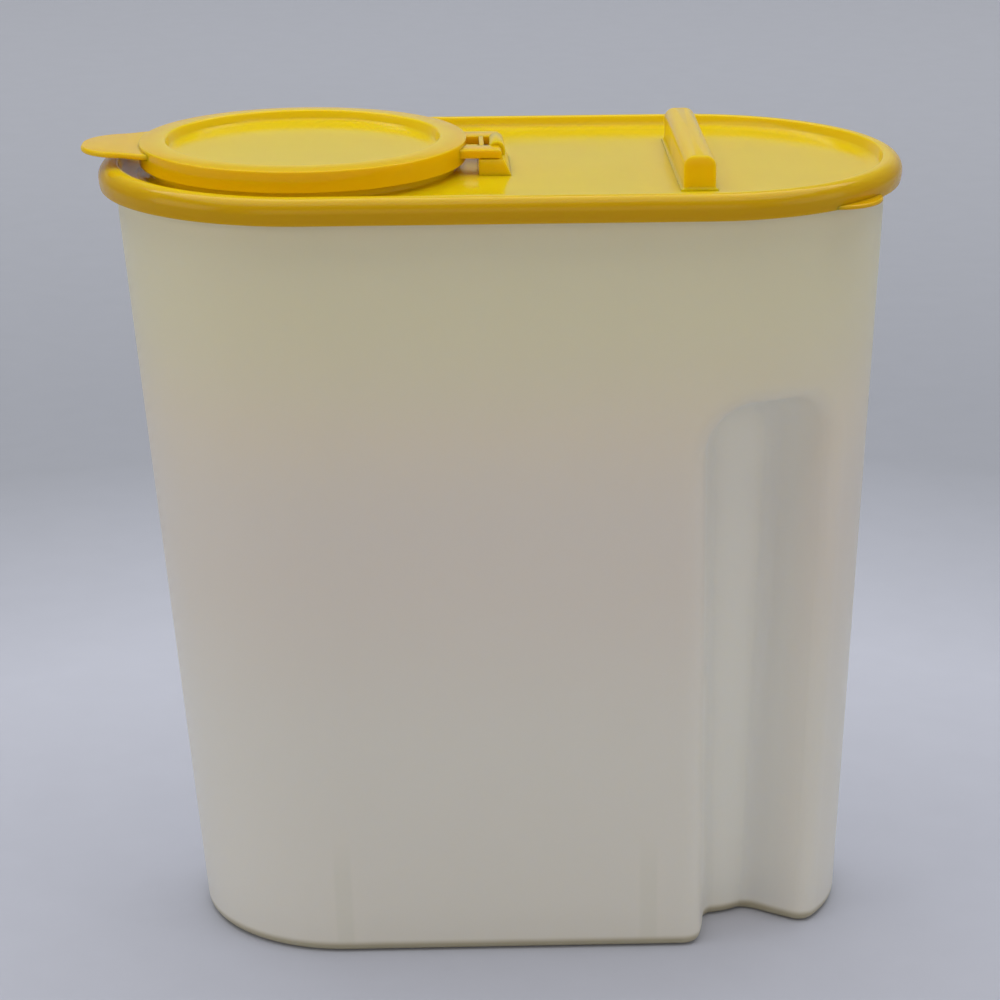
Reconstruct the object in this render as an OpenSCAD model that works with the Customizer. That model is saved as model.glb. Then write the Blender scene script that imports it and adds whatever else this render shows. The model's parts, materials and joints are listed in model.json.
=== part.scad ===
// Cereal keeper: a translucent oval body, a press-on lid and a flip cap over the pour opening.
// Millimetres. X runs along the oval, the front is -Y, and the base stands on Z = 0.

/* [Body] */
// Height of the body to the top of its rim
body_h = 238; // [200:1:300]
// Length of the base
base_len = 199.6; // [180:0.2:206]
// Depth of the base, front to back
base_dep = 90.2; // [84:0.2:100]
// How far the base sits to the right of the lid's centre
base_shift = 5.1; // [0:0.1:8]
// Thickness of the side wall
wall = 1.8; // [1.2:0.1:2.4]
// Thickness of the floor
floor_t = 2.2; // [1.5:0.1:4]
// Rounding round the bottom edge
base_fillet = 3; // [1.5:0.5:4]
// How far the wall stays inside the lid's outer edge
wall_inset = 5; // [4.5:0.1:6]

/* [Grip recess] */
// Depth of each grip recess
grip_depth = 21.5; // [16:0.5:25]
// Height of the top edge of the recess
grip_top = 181; // [120:1:200]
// Rounding of the recess's two top corners
grip_corner = 23; // [16:1:24]
// Rounding of the lip of the recess
grip_lip_r = 6; // [5.5:0.5:7]
// Rounding at the foot of the recess's walls
grip_root_r = 7; // [4:0.5:8]
// Slope of the recess's walls
grip_slope = 78; // [65:1:82]
// Length of recess on the straight side, before the round end starts
grip_before = 6.5; // [2:0.5:10]
// Where the recess ends, in degrees from the far end of the body
grip_end = 37; // [25:1:40]

/* [Denesting ribs] */
// Height of the ribs inside the foot of the wall
rib_top = 39; // [20:1:60]
// Width of each rib
rib_w = 4; // [2.5:0.5:6]
// How far each rib stands out from the wall
rib_h = 2; // [1:0.1:3]
// Place of the left ribs, beyond the start of the left round end
rib_left = 0.5; // [-6:0.5:6]
// Place of the right ribs, before the start of the right round end
rib_right = 17; // [14:0.5:40]

/* [Rim of the body] */
// Thickness of the upright rim
rim_t = 1.6; // [1.2:0.1:2]
// Height of the bead round the rim
bead_h = 0.4; // [0.2:0.1:0.6]
// Width of the bead round the rim
bead_w = 1.4; // [1:0.1:2]

/* [Lid] */
// Length of the lid
lid_len = 240; // [230:0.5:250]
// Depth of the lid, front to back
lid_dep = 124.8; // [120:0.2:132]
// Height of the lid's skirt
skirt_h = 7.5; // [7:0.1:12]
// Thickness of the skirt, the rim and the inner wall
lid_t = 1.7; // [1.3:0.1:1.8]
// How far the panel lies below the top of the rim
panel_drop = 3.5; // [3:0.1:4]
// Thickness of the panel
panel_t = 1.6; // [1.2:0.1:1.8]
// Rounding of the rim's outer edge
rim_round = 1.5; // [0.6:0.1:1.6]
// Rounding of the rim's inner edge
rim_inner_round = 0.7; // [0.3:0.1:1]
// Fillet between the rim and the panel
panel_fillet = 1.2; // [0.5:0.1:1.5]

/* [Pull tab of the lid] */
// Where the pull tab points, in degrees from the far end
pull_angle = 43; // [30:1:60]
// How far the pull tab sticks out
pull_out = 3.9; // [2:0.1:8]
// Radius of the pull tab's edge
pull_r = 14; // [8:1:20]
// Thickness of the pull tab
pull_t = 1.3; // [0.8:0.1:2.5]

/* [Pour opening] */
// Inside radius of the pour opening
pour_r = 43.8; // [43:0.1:45]
// Thickness of the collar round the pour opening
collar_t = 1.6; // [1.2:0.1:1.8]

/* [Cap] */
// Distance of the cap's centre from the middle of the lid
cap_x = 59; // [58:0.1:60]
// Radius of the cap
cap_r = 48.7; // [48:0.1:50]
// Thickness of the cap
cap_t = 1.6; // [1.2:0.1:1.8]
// Height of the cap, from the foot of its skirt to the crest of its border
cap_h = 6.8; // [6.4:0.1:7]
// Gap between the panel and the cap's skirt
cap_lift = 2.7; // [2.2:0.1:3]
// How far the cap's border falls towards its outer edge
border_fall = 0.5; // [0.2:0.1:0.8]
// Depth of the round dish in the top of the cap
dish_depth = 3.1; // [2.4:0.1:3.3]
// Radius of the dish
dish_r = 40.7; // [39:0.1:41]
// Rounding of the cap's outer edge
cap_round = 1; // [0.6:0.1:1.5]
// How far the sealing ring reaches below the cap's disc
seal_h = 1; // [0.6:0.1:1.4]
// Rounding of the sealing ring's bead
seal_bead = 0.9; // [0.5:0.1:1]

/* [Thumb tab of the cap] */
// How far the thumb tab reaches beyond the cap
thumb_out = 17.2; // [10:0.2:26]
// Width of the thumb tab at its tip
thumb_w = 30; // [28:1:34]
// Width of the thumb tab where it meets the cap
thumb_root_w = 42; // [34:1:50]
// Rounding of the tip's corners
thumb_r = 13.5; // [8:0.5:14]
// Thickness of the thumb tab
thumb_t = 1.7; // [1.2:0.1:2.2]
// How far the thumb tab lies below the top of the cap
thumb_drop = 1.4; // [1.3:0.1:2.6]

/* [Hinge] */
// Distance of the hinge line from the middle of the lid, on the cap's side
hinge_x = 1.3; // [0.8:0.1:1.6]
// Width of the whole hinge
hinge_w = 28; // [24:1:36]
// Width of the clip between the two arms
clip_w = 13.2; // [10:0.2:16]
// Radius of the hinge pin
pin_r = 1.1; // [0.9:0.05:1.15]
// Outside radius of the clip
clip_r = 2.4; // [2.2:0.1:2.6]
// Thickness of the arms
arm_t = 2.6; // [2.4:0.1:2.8]
// How far the hinge line lies below the top of the cap
hinge_drop = 3.3; // [3.1:0.1:3.5]
// Width of the cross bar between the arms
cross_t = 1.4; // [1:0.1:1.6]
// Length of the plinth under the hinge, three quarters of it on the cap's side
plinth_len = 7.4; // [6.6:0.1:8]
// Length of the sloped foot behind the plinth
foot_len = 2.6; // [1:0.1:4]
// Width of the slot that the pin snaps in through
slot_w = 1.8; // [1.5:0.1:2]

/* [Rest bar] */
// Distance of the bar's middle from the middle of the lid
bar_x = 56.5; // [50:0.5:60]
// Width of the bar
bar_w = 9.4; // [7:0.2:12]
// Length of the bar
bar_len = 74; // [40:1:76]
// Angle that the cap has turned through when it rests on the bar
open_angle = 176; // [173:0.5:178]
// Rounding of the bar's top edges
bar_round = 3.2; // [1:0.1:3.4]

/* [Clearances] */
// Gap between pieces that must not touch
gap = 0.3; // [0.2:0.05:0.4]
// Running clearance round the hinge pin
pin_gap = 0.05; // [0.02:0.01:0.1]

/* [Hidden] */
$fn = 96;
// Overlap of solids that join, reach of cuts past a face, softening of the rim's small edges
merge = 0.4;
over = 1;
edge = 0.4;

// Heights
channel_top = body_h + gap;
lid_top = channel_top + lid_t;
panel_z = lid_top - panel_drop;
panel_under = panel_z - panel_t;
skirt_z = lid_top - skirt_h;
ledge_top = panel_under - gap;
ledge_low = ledge_top - rim_t;
cap_low = panel_z + cap_lift;
cap_top = cap_low + cap_h;
dish_z = cap_top - dish_depth;
disc_low = dish_z - cap_t;
border_low = cap_top - border_fall - cap_t;
collar_top = border_low - gap;
hinge_z = cap_top - hinge_drop;
plinth_z = hinge_z - arm_t / 2 - gap;
lean = 180 - open_angle;
bar_top = hinge_z + (bar_x + hinge_x) * tan(lean) - (dish_z - hinge_z) / cos(lean) - gap;
bar_h = bar_top - panel_z;

// Plan sizes
lid_r = lid_dep / 2;
lid_a = lid_len / 2 - lid_r;
wall_r = lid_r - wall_inset;
rim_out = lid_r - lid_t - gap - bead_h;
rim_in = rim_out - rim_t;
inner_out = rim_in - gap;
inner_in = inner_out - lid_t;
base_r = base_dep / 2;
base_a = base_len / 2 - base_r;
seal_r = pour_r - gap;
dish_wall_r = dish_r + cap_t;

// The grip recess, section of its wall: an arc at the lip, a straight slope, an arc at the root.
arc_steps = 3;
grip_line = (grip_depth - (grip_lip_r + grip_root_r) * (1 - cos(grip_slope))) / sin(grip_slope);
grip_wall = (grip_lip_r + grip_root_r) * sin(grip_slope) + grip_line * cos(grip_slope);
function lip_r(inset) = grip_lip_r - inset;
function root_r(inset) = grip_root_r + inset;
function line_start(inset) = lip_r(inset) * sin(grip_slope);
function line_end(inset) = grip_wall - root_r(inset) * sin(grip_slope);
function stations(inset) = concat(
    [for (i = [0:arc_steps]) lip_r(inset) * sin(grip_slope * i / arc_steps)],
    [for (t = [1 / 3, 2 / 3]) mix(line_start(inset), line_end(inset), t)],
    [for (i = [arc_steps:-1:0]) grip_wall - root_r(inset) * sin(grip_slope * i / arc_steps)]);
function lip_depth(q, inset) =
    q <= 0 ? 0 :
    q < line_start(inset) ? lip_r(inset) - sqrt(pow(lip_r(inset), 2) - q * q) :
    q < line_end(inset) ? lip_r(inset) * (1 - cos(grip_slope)) + (q - line_start(inset)) * tan(grip_slope) :
    q < grip_wall ? grip_depth - root_r(inset) + sqrt(pow(root_r(inset), 2) - pow(grip_wall - q, 2)) :
    grip_depth;

// The oval at height z: its end radius, and the centres of its two round ends.
taper_top = min(skirt_z, ledge_low - edge);
function mix(a, b, t) = a + (b - a) * t;
function rise(z) = min(z, taper_top) / taper_top;
function end_r(z) = mix(base_r, wall_r, rise(z));
function right_x(z) = mix(base_shift + base_a, lid_a, rise(z));
function left_x(z) = mix(base_shift - base_a, -lid_a, rise(z));
function quarter(z) = end_r(z) * PI / 2;

// A point of the wall, w millimetres round from the start of the round end and sunk by depth.
function side_point(w, depth, z) =
    let (r = end_r(z) - depth, turn = w / quarter(z) * 90)
    w < 0 ? [w, -r] : [r * sin(turn), -r * cos(turn)];

// The outline of the recess at height z, seen on the unrolled wall.
function grip_end_w(z) = quarter(z) * (90 - grip_end) / 90;
function grip_half(z) = (grip_end_w(z) + grip_before) / 2;
function grip_mid(z) = (grip_end_w(z) - grip_before) / 2;
grip_corner_r = min(grip_corner, grip_half(0) - edge);
grip_corner_z = grip_top - grip_corner_r;
function grip_depth_at(w, z, inset) =
    let (across = max(0, abs(w - grip_mid(z)) - grip_half(z) + grip_corner_r))
    lip_depth(grip_corner_r - norm([across, max(0, z - grip_corner_z)]), inset);

// Columns of the recess follow lines of equal depth round its corners, and spread out above it.
column_gap = 0.3;
function column_offset(q, left, z) =
    let (up = max(0, z - grip_corner_z), run = grip_corner_r - q,
         spread = mix(column_gap, grip_corner_r, min(1, pow(up / grip_corner_r, 2)) * left))
    grip_half(z) - grip_corner_r + max(sqrt(max(0, run * run - up * up)), spread);
function half_columns(z, inset) =
    let (s = stations(inset), n = len(s), last = column_offset(s[n - 1], 1 / n, z))
    concat([for (i = [0:n - 1]) column_offset(s[i], 1 - i / n, z) + column_gap * (1 - (i + 1) / n)],
           [0.7 * last, 0.25 * last]);
function grip_columns(z, inset) =
    let (half = half_columns(z, inset), n = len(half), mid = grip_mid(z))
    concat([for (i = [0:n - 1]) mid - half[i]], [for (i = [n - 1:-1:0]) mid + half[i]]);

// Columns of one rib: out, up, along and back, as [place, share of the rib's height].
function rib_columns(place) = [[place - rib_w / 2 - merge, 0], [place - rib_w / 2, 1],
                               [place + rib_w / 2, 1], [place + rib_w / 2 + merge, 0]];

// Half of the ring at height z, from the left tip round the front to the right tip.
end_steps = 12;
tail_steps = 6;
function front_half(z, inset, rib) =
    let (ribs_l = rib_columns(rib_left), ribs_r = rib_columns(-rib_right),
         first = ribs_l[3][0], q = quarter(z), tail = grip_end_w(z))
    concat(
        [for (i = [0:end_steps - 1])
            let (p = side_point(mix(q, first, i / end_steps), inset, z)) [left_x(z) - p[0], p[1]]],
        [for (i = [3:-1:0])
            let (p = side_point(ribs_l[i][0], inset + rib * ribs_l[i][1], z)) [left_x(z) - p[0], p[1]]],
        [for (c = ribs_r)
            let (p = side_point(c[0], inset + rib * c[1], z)) [right_x(z) + p[0], p[1]]],
        [for (w = grip_columns(z, inset))
            let (p = side_point(w, inset + grip_depth_at(w, z, inset), z)) [right_x(z) + p[0], p[1]]],
        [for (i = [0:tail_steps])
            let (w = mix(tail + 3 * column_gap, q, i / tail_steps), p = side_point(w, inset, z))
            [right_x(z) + p[0], p[1]]]);
grip_start = end_steps + 2 * len(rib_columns(0));
grip_count = 2 * len(half_columns(0, 0));
function past_grip(i, n) =
    i < n / 2 ? i >= grip_start + grip_count / 2 : n - i - 1 < grip_start + grip_count / 2;
function ring(row) =
    let (f = front_half(row[0], row[1], row[2]), n = len(f))
    concat([for (p = f) [p[0], p[1], row[0]]],
           [for (i = [n - 2:-1:1]) [f[i][0], -f[i][1], row[0]]]);

// Rows of the shell as [height, inset, rib]: up the outside, over the rim and down the inside.
fillet_steps = 3;
function fillet_rows(z0, inset, r) = [for (i = [0:fillet_steps])
    let (a = 90 - 90 * i / fillet_steps) [z0 + r * (1 - sin(a)), inset + r * (1 - cos(a))]];
function recess_rows(inset) = let (s = stations(inset), n = len(s))
    concat([[grip_corner_z, inset]],
           [for (i = [n - 1:-1:0]) [grip_top - s[i], inset]]);
function backward(list) = [for (i = [len(list) - 1:-1:0]) list[i]];
function with_rib(list, rib) = [for (r = list) [r[0], r[1], rib]];
out = wall_r - rim_out;
inside = wall_r - rim_in;
bead_z = body_h - bead_w - 2 * edge;
rim_rows = [
    [taper_top, 0], [ledge_low, out + edge], [ledge_low + edge, out],
    [bead_z - bead_h, out], [bead_z, out - bead_h], [bead_z + bead_w, out - bead_h],
    [body_h - edge, out], [body_h, out + edge], [body_h, inside - edge], [body_h - edge, inside],
    [ledge_top + edge, inside], [ledge_top, inside + edge], [ledge_top, wall - edge],
    [ledge_top - edge, wall]];
inner_fillet = fillet_rows(floor_t, wall, base_fillet);
shell_rows = concat(
    with_rib(fillet_rows(0, 0, base_fillet), 0),
    with_rib(recess_rows(0), 0),
    with_rib(rim_rows, 0),
    with_rib(backward(recess_rows(wall)), 0),
    [[rib_top + rib_h / 2, wall, 0], [rib_top, wall, rib_h]],
    with_rib(backward(inner_fillet), rib_h));

module shell(rows) {
    rings = [for (row = rows) ring(row)];
    n = len(rings[0]);
    half = n / 2;
    last = (len(rows) - 1) * n;
    sides = [for (k = [0:len(rows) - 2], i = [0:n - 1])
        let (a = k * n + i, b = k * n + (i + 1) % n, falling = rows[k + 1][0] < rows[k][0])
        each (past_grip(i, n) != falling
            ? [[a, a + n, b], [b, a + n, b + n]]
            : [[a, a + n, b + n], [a, b + n, b]])];
    base = [for (i = [0:half - 1])
        let (c = (n - i) % n, d = n - i - 1)
        each [if (i < half - 1) [i, i + 1, d], if (i > 0) [i, d, c], if (i == half - 1) [i, i + 1, d]]];
    caps = concat(
        [for (f = base) if (f[0] != f[1] && f[1] != f[2] && f[0] != f[2]) f],
        [for (f = base) if (f[0] != f[1] && f[1] != f[2] && f[0] != f[2])
            [f[2] + last, f[1] + last, f[0] + last]]);
    polyhedron(points = [for (r = rings) each r], faces = concat(sides, caps));
}

module body() {
    color([0.93, 0.91, 0.84, 0.8]) shell(shell_rows);
}

// Flat oval with round ends
module oval(a, r) {
    translate([a, 0]) circle(r);
    translate([-a, 0]) circle(r);
    square([2 * a, 2 * r], center = true);
}

// Sweeps a section, drawn as distance from the centre line and height, round the oval
module round_oval(a) {
    for (side = [0, 180]) {
        rotate(side) translate([a, 0]) rotate(-90) rotate_extrude(angle = 180) children();
        rotate(side) translate([-a, 0]) rotate([90, 0, 90]) linear_extrude(2 * a) children();
    }
}

// The waste outside a rounded corner, in the quadrant of the two signs
module corner_waste(r, sx, sy) {
    translate([-sx * r, -sy * r]) scale([sx, sy]) difference() {
        square(r + merge);
        circle(r);
    }
}

module lid_section() {
    difference() {
        translate([inner_in, panel_under]) square([lid_r - inner_in, lid_top - panel_under]);
        translate([inner_out, panel_under - over])
            square([lid_r - lid_t - inner_out, channel_top - panel_under + over]);
        translate([lid_r, lid_top]) corner_waste(rim_round, 1, 1);
        translate([inner_in, lid_top]) corner_waste(rim_inner_round, -1, 1);
    }
    translate([lid_r - lid_t, skirt_z]) square([lid_t, panel_under - skirt_z + merge]);
    difference() {
        translate([inner_in - panel_fillet, panel_z - merge]) square(panel_fillet + merge);
        translate([inner_in - panel_fillet, panel_z + panel_fillet]) circle(panel_fillet);
    }
}

module pull_tab() {
    translate([lid_a, 0, skirt_z]) rotate(-pull_angle) linear_extrude(pull_t) difference() {
        translate([lid_r + pull_out - pull_r, 0]) circle(pull_r);
        circle(lid_r - lid_t / 2);
    }
}

module collar() {
    translate([-cap_x, 0, panel_under]) difference() {
        cylinder(h = collar_top - panel_under, r = pour_r + collar_t);
        translate([0, 0, -over]) cylinder(h = collar_top - panel_under + 2 * over, r = pour_r);
    }
}

// Along the hinge line: a bar of the given radius and length
module hinge_rod(r, length) {
    translate([-hinge_x, 0, hinge_z]) rotate([90, 0, 0]) cylinder(h = length, r = r, center = true);
}

module plinth() {
    left = -hinge_x - 0.75 * plinth_len;
    translate([left, -hinge_w / 2, panel_z - merge])
        cube([plinth_len, hinge_w, plinth_z - panel_z + merge]);
    translate([left + plinth_len, hinge_w / 2, panel_z]) rotate([90, 0, 0]) linear_extrude(hinge_w)
        polygon([[-merge, -merge], [foot_len, -merge], [foot_len, merge],
                 [-merge, plinth_z - panel_z - merge]]);
}

// The clip holds the pin in a bore, and opens towards the cap by a slot narrower than the pin
module clip() {
    difference() {
        union() {
            hinge_rod(clip_r, clip_w);
            translate([-hinge_x - clip_r, -clip_w / 2, plinth_z - merge])
                cube([2 * clip_r, clip_w, hinge_z - plinth_z + merge]);
        }
        hinge_rod(pin_r + pin_gap, clip_w + 2 * over);
        translate([-hinge_x - 2 * clip_r, -clip_w / 2 - over, hinge_z - slot_w / 2])
            cube([2 * clip_r, clip_w + 2 * over, slot_w]);
    }
}

module rest_bar() {
    inner = bar_w / 2 - bar_round;
    translate([bar_x, bar_len / 2, panel_z]) rotate([90, 0, 0]) linear_extrude(bar_len) {
        translate([-bar_w / 2, -merge]) square([bar_w, bar_h - bar_round + merge]);
        translate([-inner, -merge]) square([2 * inner, bar_h + merge]);
        for (side = [-1, 1]) translate([side * inner, bar_h - bar_round]) circle(bar_round);
    }
}

module lid() {
    color([0.94, 0.76, 0.16]) {
        difference() {
            union() {
                round_oval(lid_a) lid_section();
                translate([0, 0, panel_under]) linear_extrude(panel_t) oval(lid_a, inner_in + merge);
                pull_tab();
            }
            translate([-cap_x, 0, panel_under - over])
                cylinder(h = panel_t + 2 * over, r = pour_r + collar_t / 2);
        }
        collar();
        plinth();
        clip();
        rest_bar();
    }
}

module cap_section() {
    difference() {
        union() {
            translate([0, disc_low]) square([dish_wall_r, cap_t]);
            translate([dish_r, disc_low]) square([cap_t, cap_top - disc_low]);
            polygon([[dish_r, border_low], [cap_r, border_low], [cap_r, cap_top - border_fall],
                     [dish_wall_r, cap_top], [dish_r, cap_top]]);
            translate([cap_r - cap_t, cap_low]) square([cap_t, cap_h - border_fall]);
        }
        translate([cap_r, cap_top - border_fall]) corner_waste(cap_round, 1, 1);
        translate([dish_r, cap_top]) corner_waste(rim_inner_round, -1, 1);
    }
    translate([seal_r - seal_bead - cap_t, disc_low - seal_h]) square([cap_t, seal_h + merge]);
    translate([seal_r - seal_bead, disc_low - seal_h + seal_bead]) circle(seal_bead);
}

module thumb_tab() {
    tip = cap_r + thumb_out;
    root = cap_r - 3 * cap_t;
    linear_extrude(thumb_t) difference() {
        union() {
            for (side = [-1, 1])
                translate([-tip + thumb_r, side * (thumb_w / 2 - thumb_r)]) circle(thumb_r);
            translate([-tip, -thumb_w / 2 + thumb_r]) square([thumb_r, thumb_w - 2 * thumb_r]);
            polygon([[-tip + thumb_r, -thumb_w / 2], [-tip + thumb_r, thumb_w / 2],
                     [-root, thumb_root_w / 2], [-root, -thumb_root_w / 2]]);
        }
        circle(cap_r - cap_t / 2);
    }
}

// Two arms from the cap's skirt to the hinge line, the cross bar between them and the pin
module hinge_arms() {
    clear = clip_w / 2 + gap;
    arm_w = hinge_w / 2 - clear;
    arm_x = sqrt(pow(cap_r, 2) - pow(hinge_w / 2, 2)) - cap_x - cap_t;
    cross_x = -hinge_x - clip_r - cross_t;
    difference() {
        for (side = [-1, 1]) translate([0, side * (clear + arm_w / 2), hinge_z]) {
            translate([-hinge_x, 0, 0]) rotate([90, 0, 0])
                cylinder(h = arm_w, r = arm_t / 2, center = true);
            translate([arm_x, -arm_w / 2, -arm_t / 2]) cube([-hinge_x - arm_x, arm_w, arm_t]);
        }
        translate([-cap_x, 0, cap_low]) cylinder(h = cap_h, r = cap_r - cap_t / 2);
    }
    translate([cross_x - cross_t, -clear - merge, hinge_z - arm_t / 2])
        cube([cross_t, 2 * (clear + merge), arm_t]);
    hinge_rod(pin_r, 2 * (clear + merge));
}

module cap() {
    color([0.96, 0.79, 0.2]) {
        translate([-cap_x, 0, 0]) {
            rotate_extrude() cap_section();
            translate([0, 0, cap_top - thumb_drop - thumb_t]) thumb_tab();
        }
        hinge_arms();
    }
}

body();
lid();
cap();
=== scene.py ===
"""Looks of a cereal keeper: a milky oval body, a press-on lid and a flip cap, dressed round the frame."""
import json
import math

import bpy
import numpy as np
from bpy.props import FloatProperty, FloatVectorProperty, PointerProperty
from mathutils import Matrix, Vector


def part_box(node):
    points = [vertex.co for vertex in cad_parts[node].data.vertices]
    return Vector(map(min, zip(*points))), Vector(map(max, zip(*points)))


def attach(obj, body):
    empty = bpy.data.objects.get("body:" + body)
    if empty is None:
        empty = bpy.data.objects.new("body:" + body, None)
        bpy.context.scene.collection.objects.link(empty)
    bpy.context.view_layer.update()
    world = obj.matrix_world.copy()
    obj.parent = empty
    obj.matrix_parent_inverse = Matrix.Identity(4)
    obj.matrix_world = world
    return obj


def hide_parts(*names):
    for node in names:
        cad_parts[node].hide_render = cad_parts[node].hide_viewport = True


bl_info = {
    "name": "Cereal keeper",
    "version": (1, 0, 0),
    "blender": (4, 5, 0),
    "location": "View3D > Sidebar > Keeper",
    "description": "Builds the looks of a cereal keeper with a flip cap round its frame",
    "category": "Object",
}

MM = 0.001

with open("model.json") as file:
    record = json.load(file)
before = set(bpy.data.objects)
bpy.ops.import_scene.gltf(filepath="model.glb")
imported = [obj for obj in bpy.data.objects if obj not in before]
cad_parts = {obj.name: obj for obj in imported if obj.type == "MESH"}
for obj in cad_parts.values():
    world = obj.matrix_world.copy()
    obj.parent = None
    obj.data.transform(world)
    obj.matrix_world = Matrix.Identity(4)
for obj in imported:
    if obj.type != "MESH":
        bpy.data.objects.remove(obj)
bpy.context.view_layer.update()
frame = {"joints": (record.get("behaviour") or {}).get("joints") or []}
BODY_HIGH = np.array(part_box("body")[1]) / MM
LID_LOW, LID_HIGH = (np.array(corner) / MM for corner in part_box("lid"))
CAP_LOW, CAP_HIGH = (np.array(corner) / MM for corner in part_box("cap"))
HINGE = next(joint for joint in frame["joints"] if joint["name"] == "cap_hinge")
HINGE_X, HINGE_Z = HINGE["pos_m"][0] / MM, HINGE["pos_m"][2] / MM

# Sizes of the small forms, in millimetres.
REST_BAR = {"x": 56.5, "width": 9.4, "span": 74.0}
PULL_TAB = {"angle": 43.0, "out": 3.9, "radius": 14.0, "thick": 1.3}
CLIP = {"bore": 1.15, "radius": 2.4, "half_width": 6.6, "slot_half": 0.9, "foot": 2.0}
HINGE_HALF = 14.0        # half the width of the plinth, and of the two arms with the pin between them
PLINTH_LEFT, PLINTH_LENGTH, PLINTH_LEAN = 5.55, 7.4, 2.6
PLINTH_DROP, PLINTH_SINK = 1.6, 1.0   # its top below the hinge line, and its foot inside the panel
SEAL_RADIUS = 43.5
THUMB = {"tip": 30.0, "root": 42.0, "rounding": 13.5, "thick": 1.7}
THUMB_DROP = 3.1         # underside of the thumb tab, below the cap's top
ARM_INNER, ARM_RADIUS, CROSS_BAR = 6.9, 1.3, 1.4
PIN_RADIUS, PIN_HALF = 1.1, 7.3

# The camera: its place in millimetres, and its turn, tilt and roll in radians.
CAMERA_PLACE = (-25.9104, -948.9724, 436.0756)
CAMERA_TURN, CAMERA_TILT, CAMERA_ROLL = -0.02634951, math.pi / 2 - 0.31077976, -0.00671648


# ---------------------------------------------------------------- sizes and colours

def length(name, text, default):
    """A length property; its default is given in millimetres."""
    return FloatProperty(name=name, description=text, default=default * MM, min=0, unit="LENGTH", precision=5)


def colour(name, text, default):
    """A colour property, linear RGB."""
    return FloatVectorProperty(name=name, description=text, default=default, subtype="COLOR", min=0, max=1, size=3)


class KeeperBodySettings(bpy.types.PropertyGroup):
    base_length: length("Base length", "Length of the base", 199.6)
    base_depth: length("Base depth", "Depth of the base, front to back", 90.2)
    base_shift: length("Base shift", "How far the base sits to the right of the lid's centre", 5.1)
    wall: length("Wall", "Thickness of the side wall", 1.8)
    floor: length("Floor", "Thickness of the floor", 2.2)
    fillet: length("Bottom fillet", "Rounding round the bottom edge", 3.0)
    grip_depth: length("Grip depth", "Depth of each grip recess", 21.5)
    grip_top: length("Grip top", "Height of the top edge of the recess", 181.0)
    milk: colour("Milk", "Colour of the milky plastic", (0.865, 0.83, 0.74))
    milk_mid: colour("Milk at half height", "Colour of the milky plastic half-way up", (0.86, 0.79, 0.70))
    # Painted light: the top is warmer and lighter for the lid's yellow light shining through, and to lift the shade
    # under the lid.
    milk_top_painted_glow: colour("Milk at the rim", "Colour of the milky plastic at the rim, where the lid shines through it",
                     (1.0, 0.845, 0.60))
    # Painted light: the recess is paler, to lift the shade that falls in it.
    milk_painted_recess_light: colour("Milk in the recess", "Colour of the milky plastic where the recess thins the wall",
                      (1.0, 0.95, 0.855))


class KeeperLidSettings(bpy.types.PropertyGroup):
    wall: length("Wall", "Thickness of the lid's skirt and rim", 1.7)
    panel_drop: length("Panel drop", "How far the panel lies below the rim", 3.5)
    panel: length("Panel", "Thickness of the panel", 1.6)
    yellow: colour("Yellow", "Colour of the lid's plastic", (0.88, 0.615, 0.003))
    # Painted shade: the deeper, more orange yellow on the rim's outside stands for the shade and warm bounce light on
    # the lid's sides.
    deep: colour("Deep yellow", "Colour of the lid's plastic at the outside of its rim", (0.70, 0.41, 0.002))


class KeeperCapSettings(bpy.types.PropertyGroup):
    wall: length("Wall", "Thickness of the cap", 1.6)
    dish_radius: length("Dish radius", "Radius of the dish in the cap's top", 40.7)
    dish_depth: length("Dish depth", "Depth of the dish in the cap's top", 3.1)
    fall: length("Border fall", "How far the border slopes down from the dish to its outer edge", 0.5)
    reach: length("Reach", "Distance of the cap's centre from the middle of the lid", 59.0)
    yellow: colour("Yellow", "Colour of the cap's plastic", (0.89, 0.63, 0.003))
    # Painted shade: the deeper yellow on the cap's border and side stands for their shade and the warm light bounced
    # from the lid.
    deep: colour("Deep yellow", "Colour of the cap's plastic at its border", (0.87, 0.545, 0.002))


class KeeperStageSettings(bpy.types.PropertyGroup):
    # Painted light: the floor is lighter round the keeper, a painted pool of light, and darker further out.
    paper: colour("Paper", "Colour of the floor round the keeper", (0.56, 0.585, 0.68))
    ring: colour("Ring", "Colour of the floor further out", (0.38, 0.398, 0.452))
    sweep: colour("Sweep", "Colour of the backdrop", (0.66, 0.685, 0.76))
    lens: FloatProperty(name="Lens", description="Focal length of the camera", default=116.028, min=1)


# ---------------------------------------------------------------- meshes from grids

def mix(low, high, share):
    """A value part of the way from low to high."""
    return low + (high - low) * share


def grid_faces(rows, columns, loop_rows=False):
    """Quads of a grid of points whose columns close into a ring; loop_rows joins its last row to its first."""
    down = rows if loop_rows else rows - 1
    k, i = np.meshgrid(np.arange(down), np.arange(columns), indexing="ij")
    k2, i2 = (k + 1) % rows, (i + 1) % columns
    return np.stack([k * columns + i, k * columns + i2, k2 * columns + i2, k2 * columns + i], -1).reshape(-1, 4)


def add_mesh(name, points, faces, material, sharp=34.0):
    """A new object at the origin, from points in millimetres, smooth shaded with creases past the sharp angle."""
    mesh = bpy.data.meshes.new(name)
    mesh.from_pydata((np.asarray(points).reshape(-1, 3) * MM).tolist(), [], faces)
    mesh.validate()
    mesh.shade_smooth()
    mesh.set_sharp_from_angle(angle=math.radians(sharp))
    mesh.materials.append(material)
    piece = bpy.data.objects.new(name, mesh)
    bpy.context.scene.collection.objects.link(piece)
    return piece


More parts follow.
